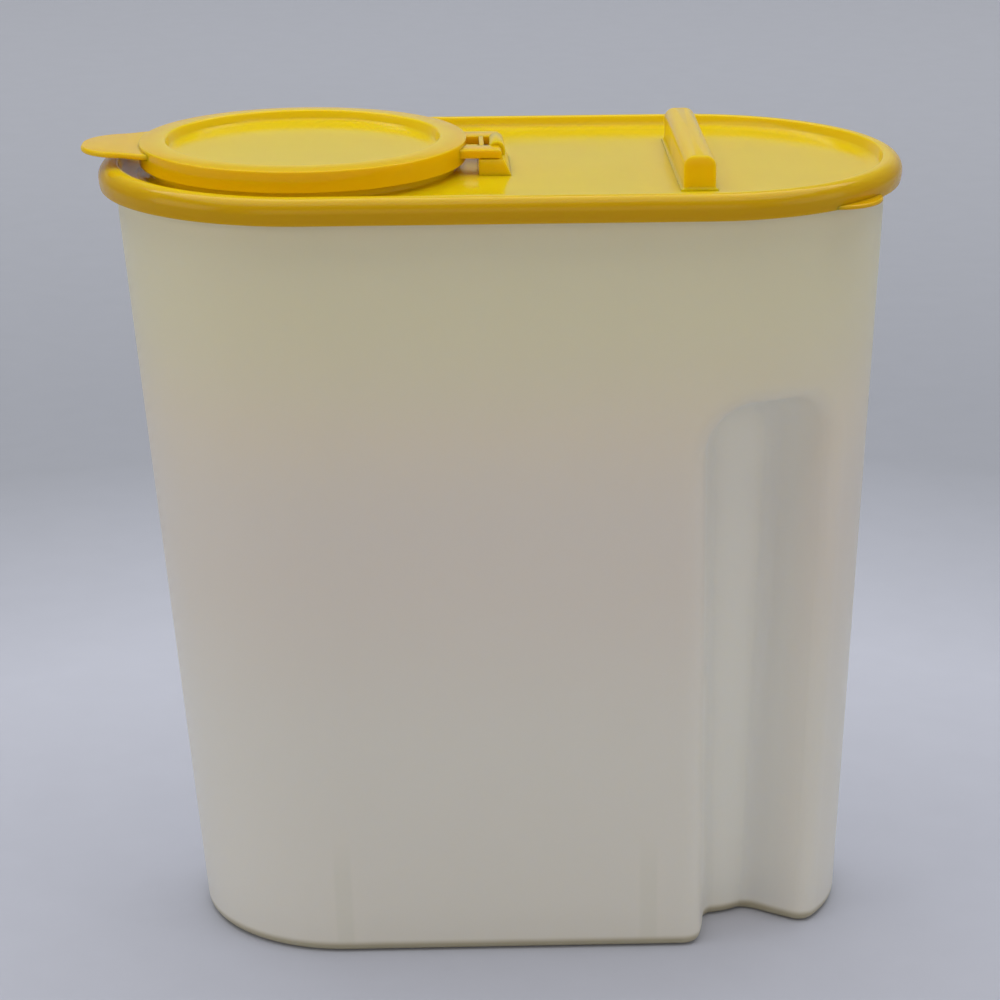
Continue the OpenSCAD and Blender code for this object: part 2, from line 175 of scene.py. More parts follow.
def closed_skin(rings):
    """Points and faces of stacked rings (rows, columns, 3) whose first and last ring are closed by a fan."""
    rows, columns, _ = rings.shape
    points = np.concatenate([rings.reshape(-1, 3), rings[:1].mean(1), rings[-1:].mean(1)])
    quads = grid_faces(rows, columns).tolist()
    i = np.arange(columns)
    first = np.stack([(i + 1) % columns, i, np.full(columns, rows * columns)], -1)
    last = np.stack([i, (i + 1) % columns, np.full(columns, rows * columns + 1)], -1) + [
        [(rows - 1) * columns] * 2 + [0]]
    return points, quads + first.tolist() + last.tolist()


def joined(parts):
    """Points and faces of several surfaces, as one mesh."""
    points, faces, start = [], [], 0
    for part_points, part_faces in parts:
        points.append(np.asarray(part_points).reshape(-1, 3))
        faces += [[v + start for v in face] for face in part_faces]
        start += len(points[-1])
    return np.concatenate(points), faces


def arc(x, z, radius, start, end, steps=8):
    """Points on an arc round (x, z), from one angle in degrees to another."""
    turn = np.radians(np.linspace(start, end, steps + 1))
    return np.stack([x + radius * np.cos(turn), z + radius * np.sin(turn)], -1)


def crown(x, z, across, down, steps=12):
    """A quarter of an ellipse from a wall at x up to a level top at z."""
    turn = np.radians(np.linspace(0, 90, steps + 1))
    return np.stack([x - across * (1 - np.cos(turn)), z - down * (1 - np.sin(turn))], -1)


def hollow(x, z, across, down, steps=12, lean=18):
    """Most of a quarter of a hollow ellipse, from a wall at x that leans by so many degrees down to a
    level floor at z."""
    turn = np.radians(np.linspace(lean, 90, steps + 1))
    return np.stack([x - across * (1 - np.cos(turn)), z + down * (1 - np.sin(turn))], -1)


def section(*stretches):
    """One profile, (distance, height) per point, from stretches of points or single points."""
    return np.concatenate([np.atleast_2d(np.asarray(s, float)) for s in stretches])


# ---------------------------------------------------------------- the body's wall

class OvalWall:
    """The tapered oval wall with its two grip recesses, in millimetres.

    A place on the wall is w, the distance round from the start of a round end at that height, and z.
    The recess is a sunk area: its depth depends only on how far a place lies inside a rounded outline."""

    INSET = 5.0          # wall inside the lid's outer edge
    CORNER = 23.0        # rounding of the recess's two top corners
    LIP, ROOT = 6.0, 7.0   # rounding of the recess's lip, and at the foot of its walls
    SLOPE = math.radians(78.0)
    BEFORE = 6.5         # length of recess on the straight side
    END = 37.0           # where the recess ends, in degrees from the far end
    SPREAD = 0.3         # least distance between two columns
    LIP_STEPS, LINE_STEPS, FLOOR_STEPS = 9, 4, 5
    END_STEPS, SIDE_STEPS, TAIL_STEPS = 40, 24, 26
    RIBS = ((-1, 0.5), (1, -17.0))   # which round end, and place along its w
    RIB_HALF, RIB_FLANK, RIB_HEIGHT, RIB_TOP, RIB_SLOPE = 2.0, 1.2, 2.0, 39.0, 9.0

    def __init__(self, settings):
        self.base_radius = settings.base_depth / MM / 2
        self.base_half = settings.base_length / MM / 2 - self.base_radius
        self.shift = settings.base_shift / MM
        self.lid_half = LID_HIGH[0] - LID_HIGH[1]
        self.top_radius = LID_HIGH[1] - self.INSET
        self.taper_top = LID_LOW[2]
        self.depth = settings.grip_depth / MM
        self.grip_top = settings.grip_top / MM
        turned = (self.LIP + self.ROOT) * (1 - math.cos(self.SLOPE))
        line = (self.depth - turned) / math.sin(self.SLOPE)
        self.across = (self.LIP + self.ROOT) * math.sin(self.SLOPE) + line * math.cos(self.SLOPE)
        self.corner_z = self.grip_top - self.CORNER

    def rise(self, z):
        return np.minimum(z, self.taper_top) / self.taper_top

    def radius(self, z):
        return mix(self.base_radius, self.top_radius, self.rise(z))

    def centre(self, z, side):
        """X of the centre of the right (+1) or left (-1) round end."""
        return mix(self.shift + side * self.base_half, side * self.lid_half, self.rise(z))

    def quarter(self, z):
        return self.radius(z) * math.pi / 2

    def point(self, w, depth, z, side):
        """X and Y on the front half of the wall, sunk by depth: straight where w < 0, an arc beyond."""
        r, turn = self.radius(z) - depth, w / self.quarter(z) * math.pi / 2
        reach = np.where(w < 0, w, r * np.sin(np.maximum(turn, 0)))
        back = np.where(w < 0, r, r * np.cos(np.maximum(turn, 0)))
        return self.centre(z, side) + side * reach, -back

    def stations(self, inset):
        """Distances inside the outline at which the recess's section has its points."""
        inset = np.atleast_1d(inset)[..., None]
        lip, root = self.LIP - inset, self.ROOT + inset
        turn = self.SLOPE * np.arange(self.LIP_STEPS + 1) / self.LIP_STEPS
        start, end = lip * math.sin(self.SLOPE), self.across - root * math.sin(self.SLOPE)
        line = mix(start, end, np.arange(1, self.LINE_STEPS) / self.LINE_STEPS)
        return np.concatenate([lip * np.sin(turn), line, self.across - root * np.sin(turn[::-1])], -1)

    def recess(self, w, z, inset):
        """Depth of the recess: an arc at the lip, a straight slope, an arc at the root, a flat floor."""
        half, mid = self.half(z), self.mid(z)
        away = np.maximum(0, np.abs(w - mid) - half + self.CORNER)
        q = self.CORNER - np.hypot(away, np.maximum(0, z - self.corner_z))
        lip, root = self.LIP - inset, self.ROOT + inset
        start, end = lip * math.sin(self.SLOPE), self.across - root * math.sin(self.SLOPE)
        on_lip = lip - np.sqrt(np.maximum(0, lip**2 - np.clip(q, 0, start) ** 2))
        on_line = lip * (1 - math.cos(self.SLOPE)) + (q - start) * math.tan(self.SLOPE)
        on_root = self.depth - root + np.sqrt(np.maximum(0, root**2 - np.clip(self.across - q, 0, None) ** 2))
        return np.select([q <= 0, q < start, q < end, q < self.across], [0 * q, on_lip, on_line, on_root], self.depth)

    def grip_w(self, z):
        return self.quarter(z) * (90 - self.END) / 90

    def half(self, z):
        return (self.grip_w(z) + self.BEFORE) / 2

    def mid(self, z):
        return (self.grip_w(z) - self.BEFORE) / 2

    def grip_columns(self, z, inset):
        """Columns follow the lines of equal depth round the recess's corners, and spread out above it."""
        q = self.stations(inset[:, 0])
        count = q.shape[1]
        left = 1 - np.arange(count) / count
        up = np.maximum(0, z - self.corner_z)
        spread = mix(self.SPREAD, self.CORNER, np.minimum(1, (up / self.CORNER) ** 2) * left)
        round_corner = np.sqrt(np.maximum(0, (self.CORNER - q) ** 2 - up**2))
        offset = self.half(z) - self.CORNER + np.maximum(round_corner, spread)
        offset = offset + self.SPREAD * (left - 1 / count)
        floor = offset[:, -1:] * (1 - np.arange(1, self.FLOOR_STEPS + 1) / (self.FLOOR_STEPS + 0.5))
        half = np.concatenate([offset, floor], 1)
        mid = self.mid(z)
        return np.concatenate([mid - half, mid + half[:, ::-1]], 1)

    def rib(self, w, place, z):
        """Height of an inner rib: flat topped across, with its top end sloping into the wall."""
        across = np.clip((self.RIB_HALF + self.RIB_FLANK - np.abs(w - place)) / self.RIB_FLANK, 0, 1)
        along = np.clip((self.RIB_TOP - z) / self.RIB_SLOPE, 0, 1)
        smooth = across * across * (3 - 2 * across)
        return self.RIB_HEIGHT * smooth * along

    def rings(self, rows):
        """Closed rings, counter-clockwise from the left tip, for rows of height, inset and rib share,
        with how much the ribs thicken the wall and how deep the recess is at each point, the share that paints light
        into the recess."""
        rows = np.asarray(rows, float)
        z, inset, share = (rows[:, i:i + 1] for i in range(3))
        reach = self.RIB_HALF + self.RIB_FLANK
        rib_w = np.linspace(-reach, reach, 15)
        (left_side, left_place), (right_side, right_place) = self.RIBS
        quarter, tail = self.quarter(z), self.grip_w(z) + 3 * self.SPREAD
        left_w = np.concatenate([
            mix(quarter, left_place + reach, np.arange(self.END_STEPS) / self.END_STEPS),
            np.broadcast_to(left_place - rib_w, (len(z), len(rib_w)))], 1)
        start = left_place - reach
        x_from, x_to = self.centre(z, -1) - start, self.centre(z, 1) + right_place - reach
        between_x = mix(x_from, x_to, np.arange(1, self.SIDE_STEPS) / self.SIDE_STEPS)
        right_w = np.concatenate([
            np.broadcast_to(right_place + rib_w, (len(z), len(rib_w))),
            mix(right_place + reach, self.mid(z) - self.half(z) - 1, np.arange(1, 5) / 4),
            self.grip_columns(z, inset),
            mix(tail, quarter, np.arange(self.TAIL_STEPS + 1) / self.TAIL_STEPS)], 1)
        left_rib = self.rib(left_w, left_place, z)
        right_rib = self.rib(right_w, right_place, z)
        sunk = self.recess(right_w, z, inset)
        left = self.point(left_w, inset + share * left_rib, z, left_side)
        right = self.point(right_w, inset + sunk + share * right_rib, z, right_side)
        between = between_x, np.broadcast_to(inset - self.radius(z), between_x.shape)
        x, y = (np.concatenate(parts, 1) for parts in zip(left, between, right))
        front = np.stack([x, y, np.broadcast_to(z, x.shape)], -1)
        ribs = np.concatenate([left_rib, 0 * between_x, right_rib], 1) / self.RIB_HEIGHT
        # The recess's depth share, which paints light into the recess to lift its shade.
        recess_light_share = np.concatenate([0 * left_rib, 0 * between_x, sunk], 1) / self.depth
        back = front[:, -2:0:-1] * [1, -1, 1]
        marks = (np.concatenate([mark, mark[:, -2:0:-1]], 1) for mark in (ribs, recess_light_share))
        return np.concatenate([front, back], 1), *marks


def body_rows(wall, settings):
    """Heights and insets of the shell's rings: up the outside, over the rim and down the inside."""
    thick, floor, fillet = settings.wall / MM, settings.floor / MM, settings.fillet / MM
    top = BODY_HIGH[2]
    bead, bead_width, rim, edge, step = 0.4, 1.4, 1.6, 0.4, 2.1
    out = wall.top_radius - BODY_HIGH[1] + bead
    inside = out + rim
    ledge = LID_LOW[2] + step
    low = ledge - rim
    bead_z = top - bead_width - 2 * edge

    def edge_rows(z0, inset):
        turn = np.radians(np.linspace(90, 0, 9))
        return np.stack([z0 + fillet * (1 - np.sin(turn)), inset + fillet * (1 - np.cos(turn))], -1)

    def recess_rows(inset):
        q = wall.stations(inset)[0]
        straight = np.linspace(edge_top(inset), wall.corner_z, 14)[1:-1]
        shoulder = np.linspace(wall.corner_z, wall.grip_top - wall.across, 5)[:-1]
        arch = wall.grip_top - q[::-1]
        above = np.linspace(wall.grip_top, wall.taper_top, 12)[1:-1]
        heights = np.concatenate([straight, shoulder, arch, above])
        return np.stack([heights, np.full(len(heights), inset)], -1)

    def edge_top(inset):
        return fillet + (floor if inset else 0)

    outer = np.concatenate([edge_rows(0, 0), recess_rows(0)])
    over = section(
        (wall.taper_top, 0), (low, out + edge), (low + edge, out), (bead_z - bead, out),
        (bead_z, out - bead), (bead_z + bead_width, out - bead), (top - edge, out), (top, out + edge),
        (top, inside - edge), (top - edge, inside), (ledge + edge, inside), (ledge, inside + edge),
        (ledge, thick - edge), (ledge - edge, thick))
    inner = recess_rows(thick)[::-1]
    ribs = np.stack([np.linspace(wall.RIB_TOP + 1, floor + fillet, 18), np.full(18, thick)], -1)
    inner = np.concatenate([inner[inner[:, 0] > ribs[0, 0]], ribs[:-1], edge_rows(floor, thick)[::-1]])
    rows = np.concatenate([outer, over, inner])
    share = np.zeros((len(rows), 1))
    share[len(outer) + len(over):] = 1
    return np.concatenate([rows, share], 1)


def mirror_caps(rows, columns):
    """Strips from front to back that close the first ring below and the last ring above."""
    half = columns // 2 + 1
    i = np.arange(1, half - 2)
    strips = np.stack([i, i + 1, columns - i - 1, columns - i], -1).tolist()
    strips += [[0, 1, columns - 1], [half - 2, half - 1, half]]
    last = (rows - 1) * columns
    return [face[::-1] for face in strips] + [[v + last for v in face] for face in strips]


# ---------------------------------------------------------------- the lid

class OvalTrack:
    """The line that the lid's rings follow: the centre line's x and the outward normal, all the way round."""

    def __init__(self, half, arc_steps=96, side_steps=56):
        turn = np.radians(np.linspace(-90, 90, arc_steps, endpoint=False))
        along = np.linspace(1, -1, side_steps, endpoint=False)
        flat = np.zeros(side_steps)
        self.x = np.concatenate([np.full(arc_steps, half), half * along,
                                 np.full(arc_steps, -half), -half * along])
        self.nx = np.concatenate([np.cos(turn), flat, -np.cos(turn), flat])
        self.ny = np.concatenate([np.sin(turn), flat + 1, -np.sin(turn), flat - 1])

    def rings(self, profile):
        """Rings at each point of a profile of distance from the centre line and height."""
        distance, z = profile[:, :1], profile[:, 1:]
        return np.stack([self.x + distance * self.nx, distance * self.ny, z + 0 * self.x], -1)


def circle_rings(profile, directions, centre_x):
    """Rings round a vertical axis, at each point of a profile of radius and height."""
    radius, z = profile[:, :1], profile[:, 1:]
    return np.stack([centre_x + radius * directions[:, 0], radius * directions[:, 1],
                     z + 0 * directions[:, 0]], -1)


def turned(steps=160):
    """Directions all the way round."""
    turn = np.linspace(0, 2 * math.pi, steps, endpoint=False)
    return np.stack([np.cos(turn), np.sin(turn)], -1)


def loft(first, last, steps):
    """Rings between two rings, neither of them included."""
    share = np.linspace(0, 1, steps + 2)[1:-1, None, None]
    return mix(first[None], last[None], share)


class LidSizes:
    """Heights and radii of the lid, in millimetres, from its box and its walls."""

    SKIRT, RIM_GAP, GAP = 7.5, 0.7, 0.3
    BODY_RIM = 1.6       # thickness of the body's rim, which stands in the channel
    COLLAR, POUR = 1.6, 43.8

    def __init__(self, settings):
        self.wall, self.panel = settings.wall / MM, settings.panel / MM
        self.radius = LID_HIGH[1]
        self.half = LID_HIGH[0] - LID_HIGH[1]
        self.low = LID_LOW[2]
        self.top = self.low + self.SKIRT
        self.panel_top = self.top - settings.panel_drop / MM
        self.panel_low = self.panel_top - self.panel
        self.channel_top = self.top - self.wall
        rim_out = self.radius - self.wall - self.RIM_GAP
        self.inner_out = rim_out - self.BODY_RIM - self.GAP
        self.inner_in = self.inner_out - self.wall


def lid_skin(size, cap_x, collar_top):
    """One closed surface: up the skirt, over the rim, down to the panel, across it to the collar,
    over the collar, back under the panel and round the channel that takes the body's rim."""
    edge, inner, tuck, draft, dip = 0.25, 0.7, 0.4, 0.6, 0.5
    crown_across, crown_down, foot_across, foot_down = 4.1, 4.2, 5.0, 1.3
    track = OvalTrack(size.half)
    r, low, top = size.radius, size.low, size.top
    skirt_top, share = top - crown_down - 0.1, np.linspace(1, 0, 9)
    over = section(
        arc(r - tuck - edge, low + edge, edge, -90, 0, 3)[:-1],
        np.stack([r - tuck * share**2, mix(skirt_top, low + edge, share)], -1),
        crown(r, top, crown_across, crown_down, 20),
        arc(size.inner_in + inner, top - inner, inner, 90, 160, 6),
        hollow(size.inner_in - draft, size.panel_top, foot_across, foot_down))
    under = section(
        arc(size.inner_out - edge, size.panel_low + edge, edge, -90, 0, 3),
        arc(size.inner_out + edge, size.channel_top - edge, edge, 180, 90, 3),
        arc(r - size.wall - edge, size.channel_top - edge, edge, 90, 0, 3),
        arc(r - size.wall + edge, low + edge, edge, 180, 270, 3))
    over, under = track.rings(over), track.rings(under)
    away = over[-1, :, :2] - [cap_x, 0]
    directions = away / np.linalg.norm(away, axis=1, keepdims=True)
    outside, inside, soft, foot = size.POUR + size.COLLAR, size.POUR, 0.5, 0.6
    collar = circle_rings(section(
        arc(outside + foot, size.panel_top + foot, foot, 270, 180, 4),
        arc(outside - soft, collar_top - soft, soft, 0, 90, 5),
        arc(inside + soft, collar_top - soft, soft, 90, 180, 5),
        arc(inside + edge, size.panel_low + edge, edge, 180, 270, 3)), directions, cap_x)
    steps = 16
    floor, share = loft(over[-1], collar[0], steps), np.arange(1, steps + 1) / (steps + 1)
    floor[..., 2] -= dip * (4 * share * (1 - share))[:, None]
    rings = np.concatenate([over, floor, collar, loft(collar[-1], under[0], 10), under])
    return rings.reshape(-1, 3), grid_faces(len(rings), rings.shape[1], loop_rows=True).tolist()


def rounded_box(x, y, radius, corner_steps=5):
    """Outline of a rectangle with round corners, counter-clockwise; each value may be one per ring."""
    x0, x1, y0, y1, radius = np.broadcast_arrays(*x, *y, radius)
    outline = []
    for cx, cy, start in ((x1 - radius, y1 - radius, 0), (x0 + radius, y1 - radius, 90),
                          (x0 + radius, y0 + radius, 180), (x1 - radius, y0 + radius, 270)):
        turn = np.radians(start + np.linspace(0, 90, corner_steps + 1))
        outline.append(np.stack([cx[..., None] + radius[..., None] * np.cos(turn),
                                 cy[..., None] + radius[..., None] * np.sin(turn)], -1))
    return np.concatenate(outline, -2)


def upright_block(x, y, z, radius):
    """A closed block of stacked outlines: x and y are pairs of values per height in z."""
    outline = rounded_box(x, y, radius)
    rings = np.concatenate([outline, np.broadcast_to(z[:, None, None], outline.shape[:2] + (1,))], -1)
    return closed_skin(rings)


def rest_bar(size, x, width, span, top):
    """The bar that the open cap lies on: a fillet flares out at its foot, its long top edges are well
    rounded and its ends only a little."""
    foot, shoulder, end, sink = 0.8, 3.2, 0.7, 1.0
    base = size.panel_top
    turn = np.radians(np.linspace(0, 90, 7))
    fine = np.radians(np.linspace(0, 90, 12))
    z = np.concatenate([[base - sink], base + foot * (1 - np.cos(turn)), top - shoulder + shoulder * np.sin(fine)])
    flare = np.concatenate([[foot], foot * (1 - np.sin(turn)), np.zeros(len(fine))])
    drop = np.maximum(0, z - (top - shoulder))
    in_x = shoulder - np.sqrt(np.maximum(0, shoulder**2 - drop**2))
    drop = np.maximum(0, z - (top - end))
    in_y = end - np.sqrt(np.maximum(0, end**2 - drop**2))
    half_x, half_y = width / 2 + flare - in_x, span / 2 + flare - in_y
    return upright_block((x - half_x, x + half_x), (-half_y, half_y), z, np.minimum(0.6, half_x * 0.9))


def soft_block(x, y, z, edge=0.35, slope=0.0):
    """A closed block with softened edges all round; its +X side may slope out towards its foot."""
    turn = np.radians(np.linspace(0, 90, 5))
    heights = np.concatenate([z[0] + edge * (1 - np.cos(turn)), z[1] - edge + edge * np.sin(turn)])
    inward = np.concatenate([edge * (1 - np.sin(turn)), edge * (1 - np.cos(turn))])
    lean = slope * (z[1] - heights) / (z[1] - z[0])
    return upright_block((x[0] + inward, x[1] - inward + lean), (y[0] + inward, y[1] - inward), heights, edge)


def side_plate(outline, y, edge=0.3):
    """A closed plate whose face lies in the XZ plane between two values of y, with softened edges.
    outline(inward, y) gives the face's outline at y, clockwise, drawn in by that much."""
    turn = np.radians(np.linspace(90, 0, 5))
    steps = [(y[0] + edge * (1 - math.cos(t)), edge * (1 - math.sin(t))) for t in turn[::-1]]
    steps += [(y[1] - edge * (1 - math.cos(t)), edge * (1 - math.sin(t))) for t in turn]
    return closed_skin(np.stack([np.insert(outline(inward, place), 1, place, axis=1) for place, inward in steps]))


def hinge_clip(x, z, bore, radius, half_width, slot_half, foot):
    """The clip that holds the pin: an arc round the bore on a square foot, open towards the cap.
    A rounded section of the arc's wall is carried round the bore; the slot's walls are parallel."""
    share = np.linspace(-1, 1, 61)[:, None]
    wall = rounded_box((bore, radius), (-half_width, half_width), 0.25, 3)
    across, y = (wall[:, 0] - bore) / (radius - bore), wall[:, 1]
    inner = share * (math.pi - math.asin(slot_half / bore))
    outer = share * (math.pi - math.asin(slot_half / radius))
    reach = np.where(outer < 0, np.minimum(radius / np.maximum(np.abs(np.cos(outer)), 0.01),
                                           foot / np.maximum(np.abs(np.sin(outer)), 0.01)), radius)
    px = mix(bore * np.cos(inner), reach * np.cos(outer), across)
    pz = mix(bore * np.sin(inner), reach * np.sin(outer), across)
    return closed_skin(np.stack([x + px, y + 0 * px, z + pz], -1))


def pull_tab(size, angle, out, radius, thick):
    """The lid's pull tab: a lens that stands out from the foot of the skirt, with a round edge.
    Its front is an arc of its own radius and its back an arc inside the skirt."""
    back_radius, centre, edge = size.radius - size.wall / 2, size.radius + out - radius, thick / 2

    def outline(inward):
        r = radius - inward
        at = math.acos((back_radius**2 + centre**2 - r**2) / (2 * back_radius * centre))
        reach = math.asin(back_radius * math.sin(at) / r)
        front, back = np.linspace(-reach, reach, 40), np.linspace(at, -at, 14)[1:-1]
        return np.concatenate([np.stack([centre + r * np.cos(front), r * np.sin(front)], -1),
                               back_radius * np.stack([np.cos(back), np.sin(back)], -1)])

    rings = np.stack([np.insert(outline(edge * (1 - math.cos(t))), 2, size.low + edge + edge * math.sin(t), axis=1)
                      for t in np.radians(np.linspace(-90, 90, 9))])
    c, s = math.cos(math.radians(-angle)), math.sin(math.radians(-angle))
    placed = rings[..., :2] @ np.array([[c, s], [-s, c]]) + [size.half, 0]
    return closed_skin(np.concatenate([placed, rings[..., 2:]], -1))


# ---------------------------------------------------------------- the cap

def cap_skin(wall, dish_radius, dish_depth, fall, centre_x, radius, seal_radius):
    """The round cap: a section turned round its axis, from the middle of the underside, round the
    sealing ring, the border and the skirt, and back over the sloping border into the dish."""
    low, top = CAP_LOW[2], CAP_HIGH[2]
    dish = top - dish_depth
    disc = dish - wall
    border = top - fall - wall
    edge, soft, bead, corner, inner, draft, dip = 0.3, 0.6, 0.9, 0.4, 0.8, 0.5, 0.4
    foot_across, foot_down, middle = 3.0, 1.0, 4
    seal_low = disc - 1.0
    seal_in = seal_radius - bead - wall
    bead_x, bead_z = seal_radius - bead, seal_low + bead
    neck = bead_x - 0.3
    join = math.degrees(math.acos((neck - bead_x) / bead))
    share, floor = np.linspace(0.92, 0.08, 10), dish_radius - draft - foot_across
    ring = np.linspace(floor, middle, 14)[1:]
    profile = section(
        (middle, disc), (seal_in - soft, disc),
        arc(seal_in - soft, disc - soft, soft, 90, 0, 4),
        arc(seal_in + edge, seal_low + edge, edge, 180, 270, 3),
        arc(bead_x, bead_z, bead, -90, join, 10),
        arc(neck + soft, border - soft, soft, 180, 90, 4),
        arc(radius - wall - soft, border - soft, soft, 90, 0, 4),
        arc(radius - wall + edge, low + edge, edge, 180, 270, 3),
        arc(radius - edge, low + edge, edge, -90, 0, 3),
        arc(radius - corner, top - fall - corner, corner, 0, 80, 5),
        np.stack([mix(dish_radius + inner, radius - corner, share), top - fall * share**2], -1),
        arc(dish_radius + inner, top - inner, inner, 90, 160, 6),
        hollow(dish_radius - draft, dish, foot_across, foot_down),
        np.stack([ring, dish - dip * (1 - (ring / floor)**2)], -1))
    return closed_skin(circle_rings(profile, turned(192), centre_x))


def paired_caps(rows, columns):
    """Strips that close the first and last ring by joining each point to its opposite, i to columns - 1 - i."""
    i = np.arange(columns // 2 - 1)
    strips = np.stack([i, i + 1, columns - 2 - i, columns - 1 - i], -1)
    return strips[:, ::-1].tolist() + (strips + (rows - 1) * columns).tolist()


def thumb_tab(centre_x, bite, end, tip, root, rounding, low, thick):
    """The thumb tab: a flat plate with flared sides and a round tip, with softened edges.
    Its root follows the middle of the cap's skirt, and strips run from there to the tip."""
    edge = 0.7
    turn = np.linspace(-1, 1, 44) * math.asin(root / 2 / bite) * 0.92
    root_line = np.stack([-bite * np.cos(turn), bite * np.sin(turn)], -1)
    turn = np.radians(np.linspace(95, 180, 18))
    upper = np.stack([rounding - end + rounding * np.cos(turn), tip / 2 - rounding + rounding * np.sin(turn)], -1)
    upper = np.concatenate([mix(root_line[-1], upper[0], np.array([[0.03], [0.06], [0.3], [0.65]])), upper])
    outline = np.concatenate([root_line, upper, upper[::-1] * [1, -1]])
    tangent = np.roll(outline, -1, 0) - np.roll(outline, 1, 0)
    outward = np.stack([tangent[:, 1], -tangent[:, 0]], -1)
    outward /= np.linalg.norm(outward, axis=1, keepdims=True)
    turn = np.radians(np.linspace(0, 90, 6))
    steps = [(edge * (1 - math.sin(t)), low + edge * (1 - math.cos(t))) for t in turn]
    steps += [(edge * (1 - math.cos(t)), low + thick - edge + edge * math.sin(t)) for t in turn]
    rings = np.stack([np.insert(outline - outward * inward, 2, z, axis=1) for inward, z in steps])
    faces = grid_faces(*rings.shape[:2]).tolist() + paired_caps(*rings.shape[:2])
    return (rings + [centre_x, 0, 0]).reshape(-1, 3), faces


def hinge_arm(centre_x, bite, y, radius):
    """One arm of the cap's hinge: from the middle of the skirt to a half circle round the hinge line."""
    def outline(inward, place):
        tail = centre_x + math.sqrt(bite**2 - place**2)
        half = radius - inward
        return np.concatenate([arc(HINGE_X, HINGE_Z, half, 90, -90, 14),
                               [[tail, HINGE_Z - half], [tail, HINGE_Z + half]]])
    return side_plate(outline, y)


def hinge_pin(radius, half_length):
    """The round pin between the two arms."""
    def outline(inward, place):
        return arc(HINGE_X, HINGE_Z, radius - inward, 360, 0, 24)[:-1]
    return side_plate(outline, (-half_length, half_length), 0.2)


# ---------------------------------------------------------------- finishes

class Finish:
    """A node material with a Principled shader, and short ways to add its nodes."""

    def __init__(self, name, **constants):
        self.material = bpy.data.materials.new(name)
        self.material.use_nodes = True
        self.tree = self.material.node_tree
        self.shader = next(n for n in self.tree.nodes if n.type == "BSDF_PRINCIPLED")
        for socket, value in constants.items():
            self.shader.inputs[socket.replace("_", " ")].default_value = value
        self.place = self.node("ShaderNodeTexCoord").outputs["Object"]

    def node(self, kind, **settings):
        made = self.tree.nodes.new(kind)
        for key, value in settings.items():
            setattr(made, key, value)
        return made

    def link(self, source, target):
        self.tree.links.new(source, target)

    def noise(self, scale, detail=3.0, stretch=(1, 1, 1), roughness=0.5):
        """Noise in object space; scale is per metre, and stretch multiplies it along the axes."""
        mapping = self.node("ShaderNodeMapping")
        mapping.inputs["Scale"].default_value = stretch
        texture = self.node("ShaderNodeTexNoise")
        texture.inputs["Scale"].default_value = scale
        texture.inputs["Detail"].default_value = detail
        texture.inputs["Roughness"].default_value = roughness
        self.link(self.place, mapping.inputs["Vector"])
        self.link(mapping.outputs["Vector"], texture.inputs["Vector"])
        return texture.outputs["Fac"]

    def spread(self, value, low, high, out_low, out_high):
        """A value spread from one range to another, and held inside it."""
        made = self.node("ShaderNodeMapRange")
        for socket, number in zip(("From Min", "From Max", "To Min", "To Max"), (low, high, out_low, out_high)):
            made.inputs[socket].default_value = number
        self.link(value, made.inputs["Value"])
        return made.outputs["Result"]

    def blend(self, share, first, second, mode="MIX"):
        """One colour into another by a share; each is a colour or a socket."""
        made = self.node("ShaderNodeMix", data_type="RGBA", blend_type=mode)
        for socket, value in ((made.inputs[0], share), (made.inputs[6], first), (made.inputs[7], second)):
            if isinstance(value, bpy.types.NodeSocket):
                self.link(value, socket)
            else:
                socket.default_value = value
        return made.outputs[2]

    def height(self, low, high):
        """Share of the way up from one height to another, in metres, eased at both ends."""
        apart = self.node("ShaderNodeSeparateXYZ")
        self.link(self.place, apart.inputs[0])
        made = self.node("ShaderNodeMapRange", interpolation_type="SMOOTHSTEP")
        made.inputs["From Min"].default_value, made.inputs["From Max"].default_value = low, high
        self.link(apart.outputs["Z"], made.inputs["Value"])
        return made.outputs["Result"]

    def outward(self, middle, half, low, high):
        """Share of the way out from one radius of an oval to another, in metres, eased at both ends."""
        apart = self.node("ShaderNodeSeparateXYZ")
        self.link(self.place, apart.inputs[0])
        across = self.sums("ABSOLUTE", self.sums("SUBTRACT", apart.outputs["X"], middle))
        across = self.sums("MAXIMUM", self.sums("SUBTRACT", across, half), 0.0)
        across, deep = self.sums("POWER", across, 2.0), self.sums("POWER", apart.outputs["Y"], 2.0)
        made = self.node("ShaderNodeMapRange", interpolation_type="SMOOTHSTEP")
        made.inputs["From Min"].default_value, made.inputs["From Max"].default_value = low, high
        self.link(self.sums("SQRT", self.sums("ADD", across, deep)), made.inputs["Value"])
        return made.outputs["Result"]

    def sums(self, operation, *values):
        """One step of arithmetic on sockets or numbers."""
        made = self.node("ShaderNodeMath", operation=operation)
        for socket, value in zip(made.inputs, values):
            if isinstance(value, bpy.types.NodeSocket):
                self.link(value, socket)
            else:
                socket.default_value = value
        return made.outputs["Value"]

    def bump(self, height, strength, distance):
        made = self.node("ShaderNodeBump")
        made.inputs["Strength"].default_value = strength
        made.inputs["Distance"].default_value = distance
        self.link(height, made.inputs["Height"])
        self.link(made.outputs["Normal"], self.shader.inputs["Normal"])

    def feed(self, **sources):
        for socket, source in sources.items():
            self.link(source, self.shader.inputs[socket.replace("_", " ")])


def opaque(rgb):
    return (*rgb, 1.0)


def shade(rgb, *factors):
    """A colour made darker or warmer by a factor per channel."""
    return tuple(channel * factor for channel, factor in zip(rgb, factors))


